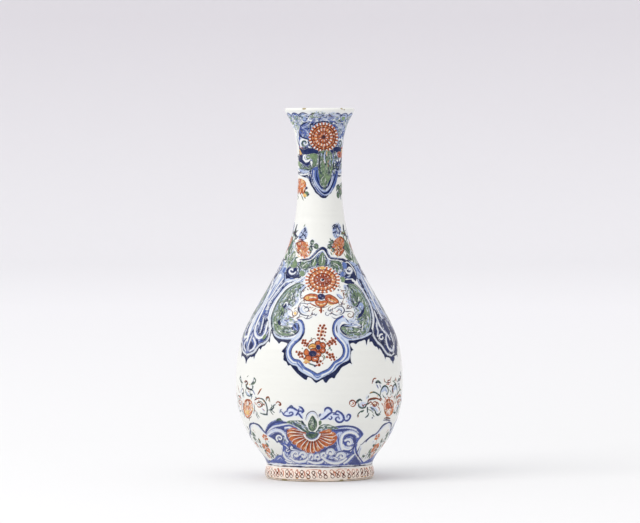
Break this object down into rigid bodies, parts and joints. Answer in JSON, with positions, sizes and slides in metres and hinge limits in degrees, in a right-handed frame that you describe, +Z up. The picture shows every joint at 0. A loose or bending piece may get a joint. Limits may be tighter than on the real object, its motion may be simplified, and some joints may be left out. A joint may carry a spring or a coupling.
{
  "type": "faience vase",
  "caption": "Pear-shaped bottle vase in tin-glazed earthenware, with a ring foot, a swelling belly, a long slender neck and a small out-turned mouth.",
  "frame": {"origin": "centre of the flat ring that the vase stands on", "axes": "+Z up along the axis of revolution; -Y towards the front of the painted decoration"},
  "size_m": [0.1176, 0.1176, 0.26],
  "materials": {
    "foot_glaze": "glossy tin glaze with an iron-red band, worn bare on the resting edge",
    "painted_glaze": "glossy white tin glaze, painted in blue, green, red and yellow"
  },
  "bodies": {
    "root": {"foot_ring": "foot_glaze", "lower_body": "painted_glaze", "upper_body": "painted_glaze", "neck": "painted_glaze", "mouth_rim": "painted_glaze"}
  },
  "joints": []
}
